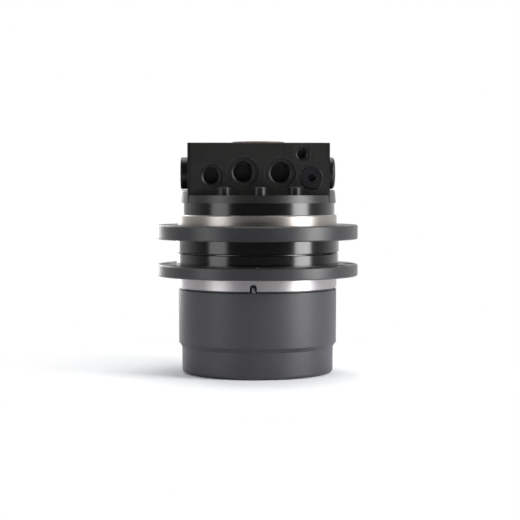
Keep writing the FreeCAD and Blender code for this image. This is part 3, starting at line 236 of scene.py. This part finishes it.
def most(tree, first, second):
    """The larger of two masks, or the second where there is no first."""
    return second if first is None else add(tree, "Math", {"operation": "MAXIMUM"}, {0: first, 1: second})


def blended(tree, mask, first, second, colour=True):
    """One value turned to another by a mask. Each is a node, a hex string for a colour, or a plain number."""
    low, high = (6, 7) if colour else (2, 3)
    settings = {"data_type": "RGBA" if colour else "FLOAT"}
    links = {0: mask}
    for socket, value in ((low, first), (high, second)):
        if isinstance(value, (str, float)):
            settings[socket] = linear(value) if colour else value
        else:
            links[socket] = value
    return add(tree, "Mix", settings, links)


def ragged(tree, own, distance, width, ragged_by, grain):
    """1 within a width of a line, whose outline a noise of a grain size pushes to and fro."""
    noise = add(tree, "TexNoise", {"Scale": 1 / grain, "Detail": 3.0, "Roughness": 0.6}, {"Vector": own})
    push = add(tree, "Math", {"operation": "MULTIPLY_ADD", 1: 2 * ragged_by, 2: -ragged_by}, {0: noise})
    pushed = add(tree, "Math", {"operation": "ADD"}, {0: distance, 1: push})
    return add(tree, "MapRange", {"From Min": width * 0.6, "From Max": width, "To Min": 1.0, "To Max": 0.0},
               {"Value": pushed})


def to_corners(tree, profile, corners):
    """The distance to the nearest of some turned corners, each a radius and a height in metres."""
    nearest = None
    for radius, height in corners:
        gap = add(tree, "VectorMath", {"operation": "DISTANCE", 1: (radius, height, 0)}, {0: profile})
        if nearest is None:
            nearest = gap.outputs["Value"]
        else:
            nearest = add(tree, "Math", {"operation": "MINIMUM"}, {0: nearest, 1: gap.outputs["Value"]})
    return nearest


# %% [markdown]
# ## Sprayed enamel on cast iron
# The castings are sand-cast ductile iron, sprayed with a thin black enamel. The sand leaves a grain of
# one to three millimetres that the paint follows, and the spray leaves a finer orange peel. The turned
# corners get a lighter metal line, partly paint worn thin or away and partly a painted highlight.
# The seats for the frame and the sprocket are turned bare, and show fine lines that run round the part.


# %% Painted castings with bare machined bands
peel_height = 0.00001
turning_height = 0.000016
# turning lines are finer than this on the part; they are drawn about 0.45 mm apart so that they show
turning_scale = (6, 6, 2200)


def painted_casting(name, colour, tint, roughness, grain, relief, zones=(), bands=(), corners=()):
    """Enamel over sand-cast iron.

    zones are heights (low, high, colour, roughness) that were machined before they were painted, so
    they are smoother and darker. bands are bare turned seats (low, high, colour). corners are turned
    edges (radius, height) drawn with a lighter metal line, partly worn paint and partly painted highlight.
    """
    material = bpy.data.materials.new(name)
    material.use_nodes = True
    tree = material.node_tree
    tree.nodes.clear()
    own, _, _, z, radius, profile = place_of(tree)
    cloud = add(tree, "TexNoise", {"Scale": 1 / (22 * mm), "Detail": 4.0, "Roughness": 0.55}, {"Vector": own})
    hue = blended(tree, cloud, colour, tint)
    sand = add(tree, "TexNoise", {"Scale": 1 / grain, "Detail": 5.0, "Roughness": 0.62}, {"Vector": own})
    peel = add(tree, "TexNoise", {"Scale": 1 / (0.7 * mm), "Detail": 2.0}, {"Vector": own})
    limits = {"From Min": 0.35, "From Max": 0.7, "To Min": roughness - 0.05, "To Max": roughness + 0.09}
    rough = add(tree, "MapRange", limits, {"Value": sand})
    lift = add(tree, "Math", {"operation": "MULTIPLY", 1: relief}, {0: sand})

    # what was machined before it was painted keeps little of the sand's grain
    machined = None
    for low, high, zone_colour, zone_roughness in zones:
        mask = between(tree, z, low, high)
        hue = blended(tree, mask, hue, zone_colour)
        rough = blended(tree, mask, rough, zone_roughness, colour=False)
        machined = most(tree, machined, mask)
    if machined is not None:
        left = add(tree, "Math", {"operation": "MULTIPLY_ADD", 1: -0.85, 2: 1.0}, {0: machined})
        lift = add(tree, "Math", {"operation": "MULTIPLY"}, {0: lift, 1: left})
    height = add(tree, "Math", {"operation": "MULTIPLY_ADD", 1: peel_height}, {0: peel, 2: lift})

    # the bare seats, stained a little and cut by fine rings
    bare = None
    for low, high, band_colour in bands:
        wide = add(tree, "Math", {"operation": "GREATER_THAN", 1: band_least_radius}, {0: radius})
        slim = add(tree, "Math", {"operation": "LESS_THAN", 1: band_radius + 0.0004}, {0: radius})
        tall = between(tree, z, low, high, 0.00012)
        mask = add(tree, "Math", {"operation": "MULTIPLY"}, {0: wide, 1: tall})
        mask = add(tree, "Math", {"operation": "MULTIPLY"}, {0: mask, 1: slim})
        stained = {"Scale": 1 / (30 * mm), "Detail": 5.0, "Roughness": 0.6}
        stain = add(tree, "TexNoise", stained, {"Vector": own})
        hue = blended(tree, mask, hue, blended(tree, stain, band_colour, "A9A5A3"))
        bare = most(tree, bare, mask)
        squeeze = add(tree, "VectorMath", {"operation": "MULTIPLY", 1: turning_scale}, {0: own})
        lines = add(tree, "TexNoise", {"Scale": 1.0, "Detail": 3.0, "Roughness": 0.7}, {"Vector": squeeze})
        cut = add(tree, "Math", {"operation": "MULTIPLY", 1: turning_height}, {0: lines})
        height = blended(tree, mask, height, cut, colour=False)
        shine = add(tree, "MapRange", {"To Min": 0.24, "To Max": 0.46}, {"Value": lines})
        rough = blended(tree, mask, rough, shine, colour=False)

    # paint worn off the turned corners, and a painted highlight along them: one lighter metal line
    if corners:
        worn_edge_and_highlight = ragged(tree, own, to_corners(tree, profile, corners), 0.0007, 0.0008, 2.2 * mm)
        hue = blended(tree, worn_edge_and_highlight, hue, "6E6A66")
        rough = blended(tree, worn_edge_and_highlight, rough, 0.42, colour=False)
        bare = most(tree, bare, worn_edge_and_highlight)

    bump = add(tree, "Bump", {"Strength": 1.0, "Distance": 1.0}, {"Height": height})
    links = {"Base Color": hue, "Roughness": rough, "Normal": bump}
    if bare is not None:
        links["Metallic"] = bare
    shader = add(tree, "BsdfPrincipled", {}, links)
    add(tree, "OutputMaterial", links={"Surface": shader})
    return material


drum_paint = painted_casting(
    "sprayed_enamel_on_cast_drum", "2A2A2E", "303036", 0.44, 2.0 * mm, 0.00016,
    corners=[(drum_radius, drum_high[2]), (drum_radius, drum_step), (foot_radius, drum_low[2])],
)
cover_paint = painted_casting("sprayed_enamel_on_cast_cover", "2C2C31", "34343B", 0.46, 2.4 * mm, 0.00016)
case_paint = painted_casting(
    "sprayed_enamel_on_machined_case", "1B1B1E", "232326", 0.36, 1.6 * mm, 0.00008,
    zones=[(0.1190, case_flange_low - 0.0004, "050505", 0.17), (band_high, 0.1690, "060606", 0.20)],
    bands=[(frame_face + 0.0001, band_high, "8A837C")],
    corners=[(flange_radius, frame_face), (flange_radius, case_flange_low)],
)
hub_paint = painted_casting(
    "sprayed_enamel_on_machined_hub", "1D1D20", "252528", 0.36, 1.6 * mm, 0.00008,
    zones=[(hub_flange_high + 0.0004, 0.1195, "050505", 0.17)],
    bands=[(band_low, sprocket_face - 0.0001, "98949A")],
    corners=[(flange_radius, hub_flange_high), (flange_radius, sprocket_face)],
)
print("casting paints:", drum_paint.name, case_paint.name, hub_paint.name)

# %% [markdown]
# ## The valve block's paint
# The block is cast too, with a machined port face. Its wear is at straight corners, so the distance
# to a corner line comes from two of the three coordinates. A lighter metal ring round each port's rim
# is partly scrapes from hose fittings and partly a painted highlight of the rim edge, and brown primer
# shows through along the top.


# %% Block paint
def block_enamel():
    """Black enamel on the valve block: brown primer at the top corners, and at the port rims a lighter metal
    ring that is partly scrapes and partly a painted highlight.
    """
    material = bpy.data.materials.new("sprayed_enamel_on_valve_block")
    material.use_nodes = True
    tree = material.node_tree
    tree.nodes.clear()
    own, x, y, z, _, _ = place_of(tree)
    cloud = add(tree, "TexNoise", {"Scale": 1 / (14 * mm), "Detail": 4.0}, {"Vector": own})
    hue = blended(tree, cloud, "11100F", "1D1B19")
    sand = add(tree, "TexNoise", {"Scale": 1 / (1.7 * mm), "Detail": 5.0, "Roughness": 0.65}, {"Vector": own})
    limits = {"From Min": 0.35, "From Max": 0.7, "To Min": 0.30, "To Max": 0.44}
    rough = add(tree, "MapRange", limits, {"Value": sand})
    front = between(tree, y, port_face - 0.0004, port_face + 0.0006)
    below = add(tree, "Math", {"operation": "SUBTRACT", 1: block_top + 0.0002}, {0: z})
    below = add(tree, "Math", {"operation": "ABSOLUTE"}, {0: below})
    primer = add(tree, "Math", {"operation": "MULTIPLY", 1: 0.75},
                 {0: ragged(tree, own, below, 0.0009, 0.0005, 3 * mm)})
    hue = blended(tree, primer, hue, "4A3426")
    rim_scrape_and_highlight = None
    level = add(tree, "CombineXYZ", links={0: x, 1: z})
    # painted highlight: each port rim gets a lighter bare-metal ring, partly scrapes and partly the light its
    # edge catches
    for rim_x, rim_z, rim in spot_faces.values():
        gap = add(tree, "VectorMath", {"operation": "DISTANCE", 1: (rim_x, rim_z, 0)}, {0: level})
        off = add(tree, "Math", {"operation": "SUBTRACT", 1: rim}, {0: gap.outputs["Value"]})
        off = add(tree, "Math", {"operation": "ABSOLUTE"}, {0: off})
        rim_scrape_and_highlight = most(tree, rim_scrape_and_highlight, ragged(tree, own, off, 0.00035, 0.0007, 4 * mm))
    rim_scrape_and_highlight = add(tree, "Math", {"operation": "MULTIPLY"}, {0: rim_scrape_and_highlight, 1: front})
    # the port rims' lighter metal ring: part scrape, part painted highlight
    hue = blended(tree, rim_scrape_and_highlight, hue, "5E5D5C")
    rough = blended(tree, rim_scrape_and_highlight, rough, 0.4, colour=False)
    lift = add(tree, "Math", {"operation": "MULTIPLY", 1: 0.00012}, {0: sand})
    bump = add(tree, "Bump", {"Strength": 1.0, "Distance": 1.0}, {"Height": lift})
    links = {"Base Color": hue, "Roughness": rough, "Normal": bump, "Metallic": rim_scrape_and_highlight}
    shader = add(tree, "BsdfPrincipled", {}, links)
    add(tree, "OutputMaterial", links={"Surface": shader})
    return material


rims = {"port_drain": 0.0123, "port_main_left": 0.0155, "port_main_right": 0.0155, "port_pilot": 0.0080}
spot_faces = {name: (mounts[name]["pos_m"][0], mounts[name]["pos_m"][2], rim) for name, rim in rims.items()}
plug_low, plug_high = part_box("port_screw_plug")
plug_centre = (plug_low + plug_high) / 2
spot_faces["plugged"] = (plug_centre[0], plug_centre[2], 0.0118)
block_paint = block_enamel()
print("spot faces:", {name: [round(v, 4) for v in place] for name, place in spot_faces.items()})

# %% [markdown]
# ## Bare metals, rubber and linings
# Inside and underneath the metals are bare. Each is named for how it was made, because that sets how
# it shines: ground steel has fine straight scratches, turned steel has rings, black oxide is a thin
# oily skin, and sintered bronze is dull with tiny pores.


# %% Bare materials
def bare_material(name, colour, tint, metallic, roughness, spread, grain, relief, stretch=(1, 1, 1)):
    """A metal or rubber whose roughness and height follow one stretched noise, and whose colour follows a
    broader cloud.
    """
    material = bpy.data.materials.new(name)
    material.use_nodes = True
    tree = material.node_tree
    tree.nodes.clear()
    own = add(tree, "TexCoord").outputs["Object"]
    scaled = add(tree, "VectorMath", {"operation": "MULTIPLY", 1: tuple(s / grain for s in stretch)}, {0: own})
    marks = add(tree, "TexNoise", {"Scale": 1.0, "Detail": 4.0, "Roughness": 0.6}, {"Vector": scaled})
    cloud = add(tree, "TexNoise", {"Scale": 1 / (12 * mm), "Detail": 3.0}, {"Vector": own})
    hue = blended(tree, cloud, colour, tint)
    rough = add(tree, "MapRange", {"To Min": roughness - spread, "To Max": roughness + spread},
                {"Value": marks})
    lift = add(tree, "Math", {"operation": "MULTIPLY", 1: relief}, {0: marks})
    bump = add(tree, "Bump", {"Strength": 1.0, "Distance": 1.0}, {"Height": lift})
    links = {"Base Color": hue, "Roughness": rough, "Normal": bump}
    shader = add(tree, "BsdfPrincipled", {"Metallic": metallic}, links)
    add(tree, "OutputMaterial", links={"Surface": shader})
    return material


# slot: name, colour, tint, metallic, roughness, spread, grain, relief, stretch
bare_finishes = {
    # alloy steel with a black oxide skin: dark, slightly brown, half gloss
    "black_fasteners": ("black_oxide_alloy_steel", "18171A", "242225", 0.55, 0.36, 0.10, 0.8 * mm, 4e-6),
    # oil-tempered wire, blue-grey
    "spring_steel": ("oil_tempered_spring_wire", "55565A", "6B6A68", 1.0, 0.35, 0.08, 0.6 * mm, 3e-6),
    # moulded nitrile: dull black with a faint bloom
    "rubber": ("moulded_nitrile_rubber", "151515", "1D1D1C", 0.0, 0.62, 0.10, 0.9 * mm, 1.2e-5),
    # cast bronze, turned on its working faces
    "valve_bronze": ("turned_leaded_bronze", "A07A3E", "8C6632", 1.0, 0.30, 0.08, 0.5 * mm, 4e-6, (1, 1, 6)),
    # sintered bronze lining with tiny pores
    "friction_lining": ("sintered_bronze_lining", "6B5436", "54432C", 0.6, 0.62, 0.12, 0.5 * mm, 3e-5),
    # through-hardened steel, ground and honed nearly to a mirror
    "bearing_steel": ("honed_bearing_steel", "B9BABC", "ABADB0", 1.0, 0.16, 0.05, 0.7 * mm, 1e-6, (1, 1, 8)),
    # case-hardened steel, dark between its ground flanks
    "gear_steel": ("carburised_gear_steel", "77777A", "63636A", 1.0, 0.33, 0.10, 0.6 * mm, 5e-6, (1, 1, 5)),
    # plain steel turned on a lathe
    "machined_steel": ("turned_carbon_steel", "96969A", "85858A", 1.0, 0.30, 0.08, 0.5 * mm, 5e-6, (1, 1, 9)),
}
materials = {
    "case_iron": case_paint,
    "block_iron": block_paint,
    "hub_iron": hub_paint,
    "housing_iron": drum_paint,
    "cover_iron": cover_paint,
}
for slot, values in bare_finishes.items():
    materials[slot] = bare_material(*values)
for entry in record["subparts"]:
    mesh = nodes[entry["node"]].data
    mesh.materials.clear()
    mesh.materials.append(materials[entry["material_slot"]])
print("finishes on", len(record["subparts"]), "nodes from", len(materials), "materials")
